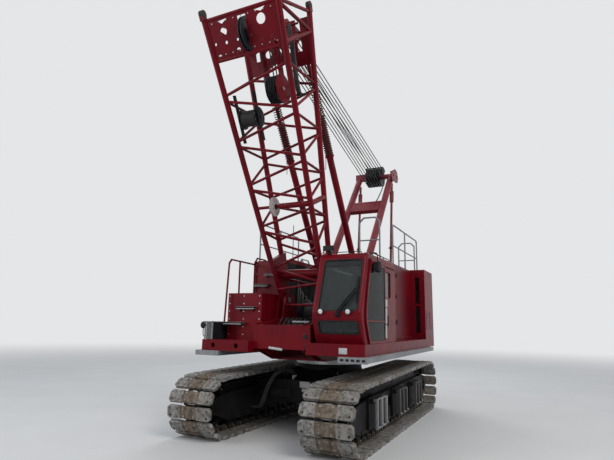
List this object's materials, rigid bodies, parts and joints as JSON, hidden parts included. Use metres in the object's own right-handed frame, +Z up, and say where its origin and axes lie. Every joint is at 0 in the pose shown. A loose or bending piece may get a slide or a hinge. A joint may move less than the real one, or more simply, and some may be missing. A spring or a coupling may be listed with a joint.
{
  "type": "crawler crane",
  "caption": "Lattice boom crawler crane with the boom's foot section raised, a cab on the left, side houses, gantry and retracted tracks.",
  "frame": {"origin": "on the ground under the middle of the whole crane's box", "axes": "+X forward along the boom, +Y to the crane's left, the cab side, +Z up"},
  "size_m": [8.0052, 3.479, 7.9991],
  "materials": {
    "red_paint": "deep red gloss paint, dusty and worn at edges",
    "dark_paint": "black paint with dust",
    "track_steel": "bare worn shoes with rust and dried mud",
    "bright_steel": "machined steel",
    "walkway_metal": "dull aluminium and zinc",
    "winch_paint": "black winch paint",
    "black_rubber": "matt black",
    "seat_fabric": "dark seat cloth",
    "engine_metal": "grey engine paint",
    "wire_rope": "greased wire rope",
    "window_glass": "tinted glass"
  },
  "bodies": {
    "carbody": {"carbody": "dark_paint", "slew_ring": "bright_steel", "carbody_hoses": "black_rubber"},
    "left_crawler": {"left_track_frame": "dark_paint", "left_track": "track_steel", "left_idler": "dark_paint", "left_sprocket": "dark_paint", "left_rollers": "dark_paint", "left_steps": "walkway_metal"},
    "right_crawler": {"right_track_frame": "dark_paint", "right_track": "track_steel", "right_idler": "dark_paint", "right_sprocket": "dark_paint", "right_rollers": "dark_paint", "right_steps": "walkway_metal"},
    "upperworks": {"rotating_bed": "red_paint", "boom_foot_pins": "bright_steel", "left_deck": "red_paint", "right_deck": "red_paint", "left_catwalk": "walkway_metal", "right_catwalk": "walkway_metal", "cab_shell": "red_paint", "front_windows": "window_glass", "cab_side_windows": "window_glass", "operator_seat": "seat_fabric", "cab_mirrors": "black_rubber", "left_house": "red_paint", "intake_housing": "red_paint", "right_house": "red_paint", "engine_block": "engine_metal", "fuel_tank": "red_paint", "front_stairs": "walkway_metal", "left_handrails": "walkway_metal", "right_handrails": "walkway_metal", "gantry_legs": "red_paint", "gantry_links": "red_paint", "gantry_head": "red_paint", "gantry_sheaves": "winch_paint", "boom_hoist_ropes": "wire_rope"},
    "boom": {"boom_foot": "red_paint", "boom_chords": "red_paint", "boom_front_lacing": "red_paint", "boom_rear_lacing": "red_paint", "boom_left_lacing": "red_paint", "boom_right_lacing": "red_paint", "boom_head": "red_paint", "boom_guide_sheaves": "winch_paint", "rigging_winch_frame": "dark_paint", "hoist_bridle": "red_paint"},
    "stop_tubes": {"boom_stop_tubes": "red_paint"},
    "stop_rods": {"boom_stop_rods": "red_paint"},
    "cab_door": {"cab_door": "red_paint", "cab_door_glass": "window_glass"},
    "front_engine_door": {"front_engine_door": "red_paint"},
    "rear_engine_door": {"rear_engine_door": "red_paint"},
    "front_winch_drum": {"front_winch_drum": "winch_paint"},
    "rear_winch_drum": {"rear_winch_drum": "winch_paint"},
    "boom_hoist_drum": {"boom_hoist_drum": "winch_paint"},
    "boom_sheaves": {"boom_sheaves": "winch_paint"},
    "rigging_winch_drum": {"rigging_winch_drum": "winch_paint"}
  },
  "joints": [
    {"name": "left_track_slide", "type": "slide", "parent": "carbody", "child": "left_crawler", "axis": [0, 1, 0], "range_m": [0, 0.7]},
    {"name": "right_track_slide", "type": "slide", "parent": "carbody", "child": "right_crawler", "axis": [0, -1, 0], "range_m": [0, 0.7]},
    {"name": "slew", "type": "hinge", "parent": "carbody", "child": "upperworks", "pos_m": [-0.1526, 0, 1.3], "axis": [0, 0, 1], "continuous": true},
    {"name": "boom_luff", "type": "hinge", "parent": "upperworks", "child": "boom", "pos_m": [1.0074, 0, 2.516], "axis": [0, -1, 0], "range_deg": [-65.7, 14.3], "deforming": ["boom_hoist_ropes"]},
    {"name": "stop_tube_tilt", "type": "hinge", "parent": "upperworks", "child": "stop_tubes", "pos_m": [-0.7626, 0, 3.09], "axis": [0, -1, 0], "range_deg": [-53.3, 11.99]},
    {"name": "stop_rod_slide", "type": "slide", "parent": "stop_tubes", "child": "stop_rods", "axis": [0.582, 0, 0.8132], "range_m": [-0.328, 1.4708]},
    {"name": "cab_door_slide", "type": "slide", "parent": "upperworks", "child": "cab_door", "axis": [-1, 0, 0], "range_m": [0, 0.62]},
    {"name": "front_engine_door_hinge", "type": "hinge", "parent": "upperworks", "child": "front_engine_door", "pos_m": [-1.0526, -1.657, 2.6], "axis": [0, 0, -1], "range_deg": [0, 120]},
    {"name": "rear_engine_door_hinge", "type": "hinge", "parent": "upperworks", "child": "rear_engine_door", "pos_m": [-2.4526, -1.657, 2.6], "axis": [0, 0, -1], "range_deg": [0, 120]},
    {"name": "front_winch_turn", "type": "hinge", "parent": "upperworks", "child": "front_winch_drum", "pos_m": [0.1774, 0, 2.23], "axis": [0, 1, 0], "continuous": true},
    {"name": "rear_winch_turn", "type": "hinge", "parent": "upperworks", "child": "rear_winch_drum", "pos_m": [-1.1026, 0, 2.23], "axis": [0, 1, 0], "continuous": true},
    {"name": "boom_hoist_turn", "type": "hinge", "parent": "upperworks", "child": "boom_hoist_drum", "pos_m": [-2.3026, 0, 2.23], "axis": [0, 1, 0], "continuous": true},
    {"name": "boom_sheaves_turn", "type": "hinge", "parent": "boom", "child": "boom_sheaves", "pos_m": [2.72753, 0, 6.32567], "axis": [0, 1, 0], "continuous": true},
    {"name": "rigging_winch_turn", "type": "hinge", "parent": "boom", "child": "rigging_winch_drum", "pos_m": [2.86533, 0, 5.78067], "axis": [0, 1, 0], "continuous": true}
  ],
  "couplings": [
    {"joint": "stop_tube_tilt", "follows": "boom_luff", "ratio": 0.80359},
    {"joint": "stop_rod_slide", "follows": "boom_luff", "m_per_rad": -1.2739}
  ]
}
